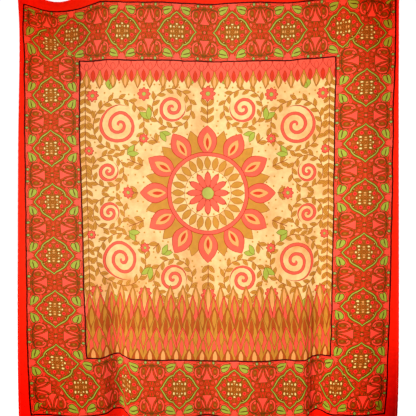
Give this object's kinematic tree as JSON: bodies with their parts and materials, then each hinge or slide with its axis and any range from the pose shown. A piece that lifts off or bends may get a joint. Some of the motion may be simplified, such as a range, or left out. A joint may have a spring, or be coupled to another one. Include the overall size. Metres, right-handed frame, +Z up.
{
  "type": "wall tapestry",
  "caption": "Printed cotton wall tapestry with a medallion border round a central panel, hung by its top edge in soft folds.",
  "frame": {"origin": "middle of the cloth's top edge, on its face", "axes": "+Z up along the drop, +X to the right seen from the front, -Y out of the printed face"},
  "size_m": [2.0963, 0.1004, 2.4361],
  "materials": {
    "printed_cotton": "matt plain-woven cotton, printed on its face"
  },
  "bodies": {
    "root": {"tapestry_cloth": "printed_cotton"}
  },
  "joints": []
}
